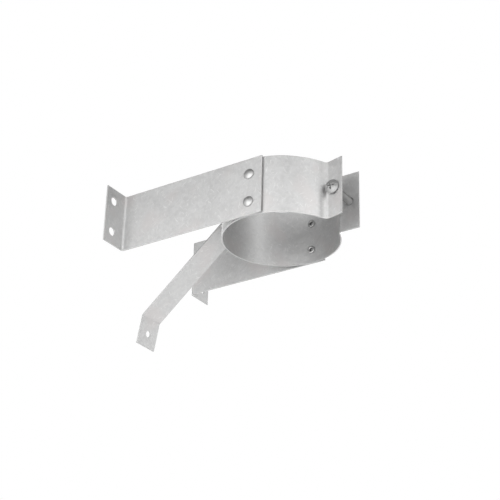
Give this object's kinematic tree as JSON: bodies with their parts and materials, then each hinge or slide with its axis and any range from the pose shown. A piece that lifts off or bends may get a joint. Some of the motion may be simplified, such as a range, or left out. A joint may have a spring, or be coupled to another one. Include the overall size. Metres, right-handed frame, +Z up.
{
  "type": "vent pipe wall strap",
  "caption": "Galvanised strap that clamps round a vertical vent pipe and holds it off a wall, with riveted side arms, a sloping brace and a clamp screw.",
  "frame": {"origin": "on the wall plane, straight behind the pipe's axis and at mid-height of the clamp band", "axes": "+X away from the wall, +Y to the right of someone who faces the wall, +Z up along the pipe"},
  "size_m": [0.199, 0.1486, 0.1169],
  "materials": {
    "galvanised_sheet": "dull satin galvanised sheet with fine mottling",
    "rivet_steel": "zinc-plated, satin",
    "screw_steel": "zinc-plated, satin"
  },
  "bodies": {
    "strap": {"clamp_band": "galvanised_sheet", "left_arm": "galvanised_sheet", "right_arm": "galvanised_sheet", "brace": "galvanised_sheet", "left_rivet_upper": "rivet_steel", "left_rivet_lower": "rivet_steel", "right_rivet_upper": "rivet_steel", "right_rivet_lower": "rivet_steel", "brace_rivet": "rivet_steel"},
    "screw": {"clamp_screw": "screw_steel"},
    "nut": {"clamp_nut": "screw_steel"}
  },
  "joints": [
    {"name": "clamp_screw_turn", "type": "hinge", "parent": "strap", "child": "screw", "pos_m": [0.18122, 0, 0], "axis": [0, 1, 0], "range_deg": [-1800, 0]},
    {"name": "clamp_nut_slide", "type": "slide", "parent": "strap", "child": "nut", "axis": [0, 1, 0], "range_m": [0, 0.00635]}
  ],
  "couplings": [
    {"joint": "clamp_nut_slide", "follows": "clamp_screw_turn", "m_per_rad": -0.0002021}
  ]
}
